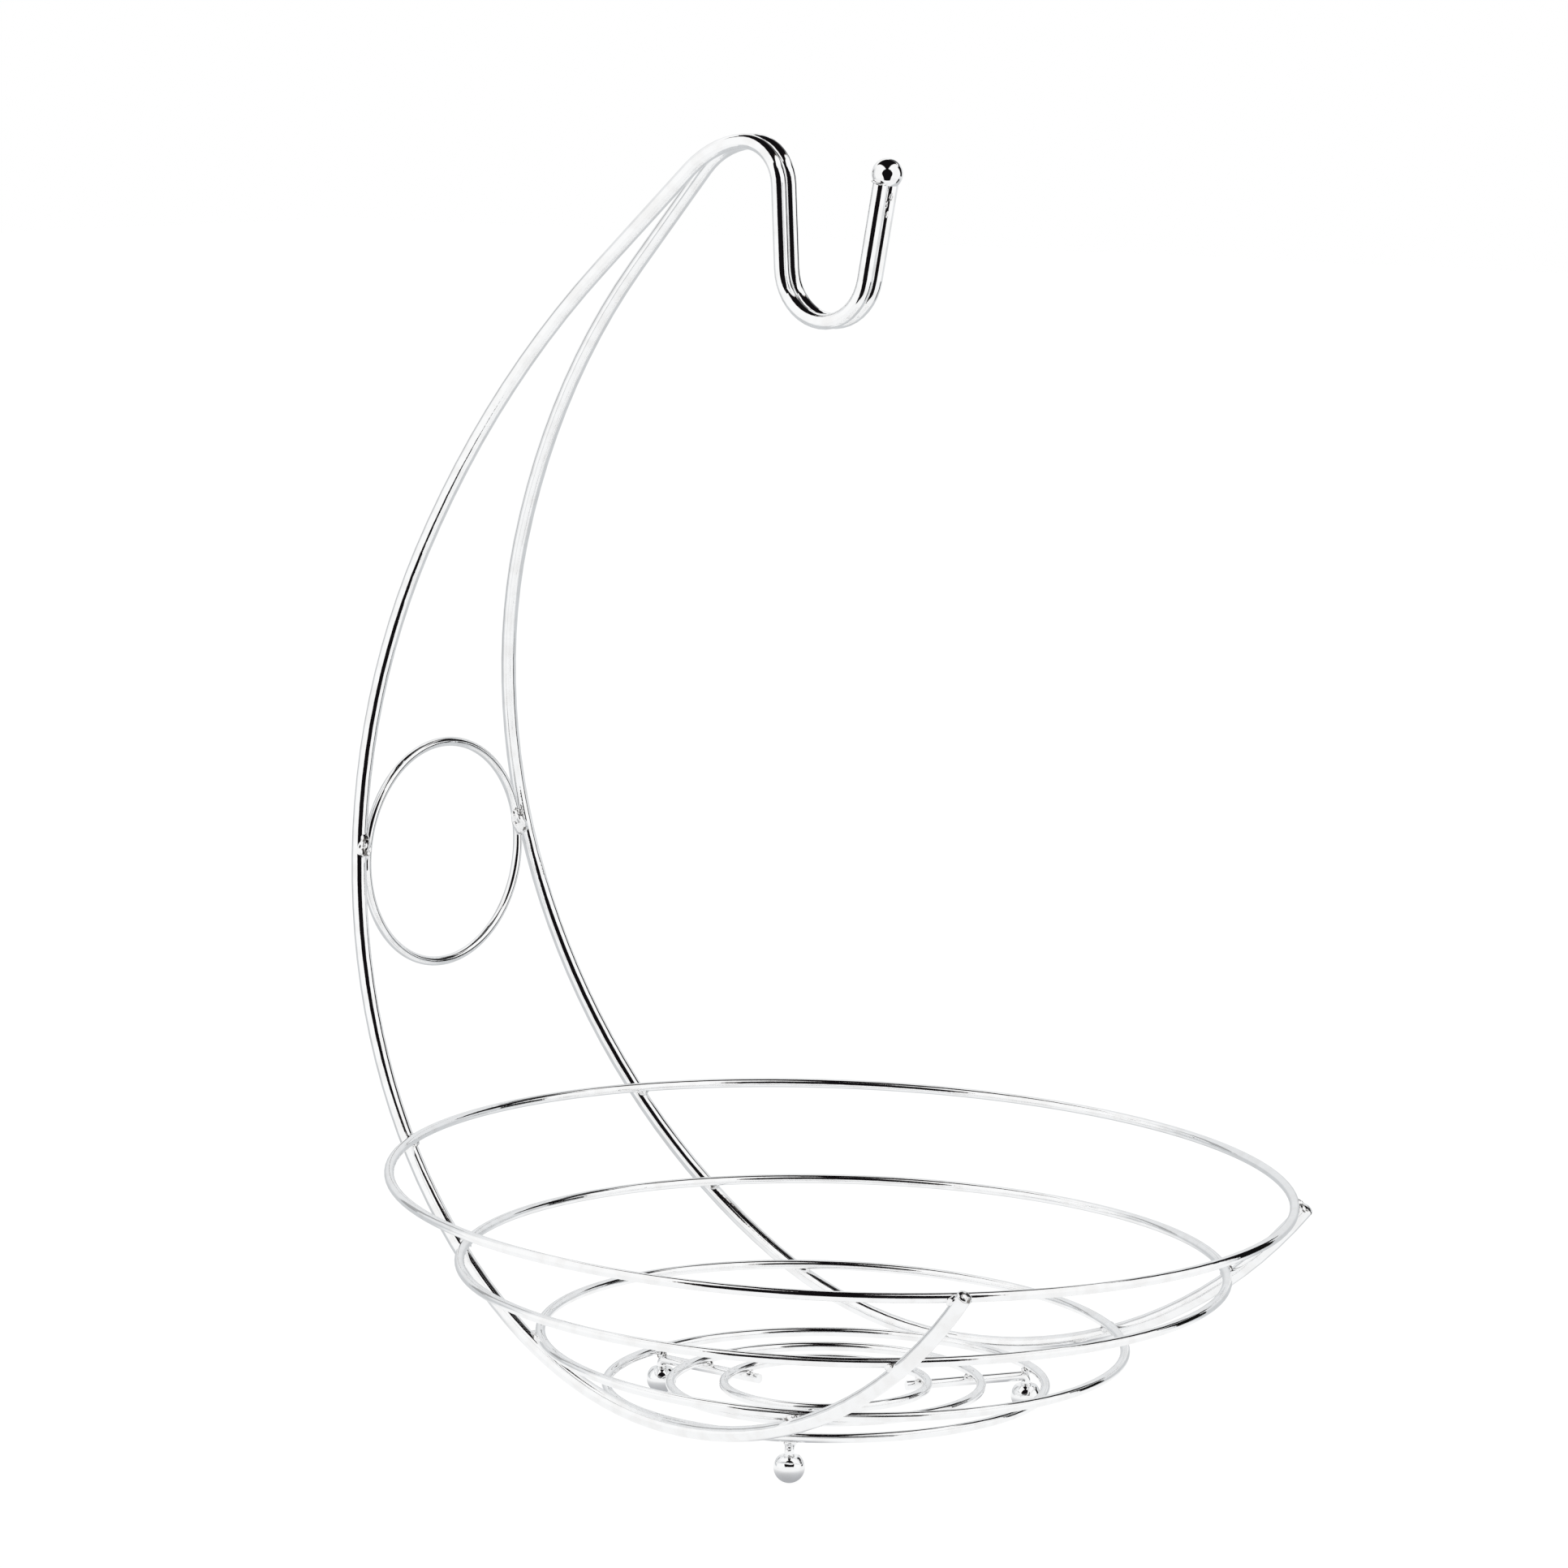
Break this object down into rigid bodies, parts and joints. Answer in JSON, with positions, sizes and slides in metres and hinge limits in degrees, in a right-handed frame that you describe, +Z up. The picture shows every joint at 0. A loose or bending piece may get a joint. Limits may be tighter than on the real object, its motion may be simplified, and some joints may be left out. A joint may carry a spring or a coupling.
{
  "type": "fruit bowl with banana hanger",
  "caption": "Open wire fruit bowl on ball feet, with a crescent of bent wires rising behind it to a hook that holds bananas.",
  "frame": {"origin": "on the axis of the base rings, on the surface that the ball feet stand on", "axes": "+Z up, +X the way the hook reaches over the bowl, Y = 0 the mirror plane of the hanger wires"},
  "size_m": [0.3134, 0.283, 0.401],
  "materials": {
    "hanger_wire": "polished chrome plate on steel wire",
    "ring_wire": "polished chrome plate on steel wire",
    "ball": "polished chrome plate on steel balls"
  },
  "bodies": {
    "root": {"hanger_wire_left": "hanger_wire", "hanger_wire_right": "hanger_wire", "rim_ring": "ring_wire", "upper_ring": "ring_wire", "lower_ring": "ring_wire", "base_ring_outer": "ring_wire", "base_ring_middle": "ring_wire", "base_ring_inner": "ring_wire", "ornament_ring": "ring_wire", "foot_spoke_back": "ring_wire", "foot_spoke_left": "ring_wire", "foot_spoke_right": "ring_wire", "foot_ball_back": "ball", "foot_ball_left": "ball", "foot_ball_right": "ball", "hook_ball": "ball"}
  },
  "joints": []
}
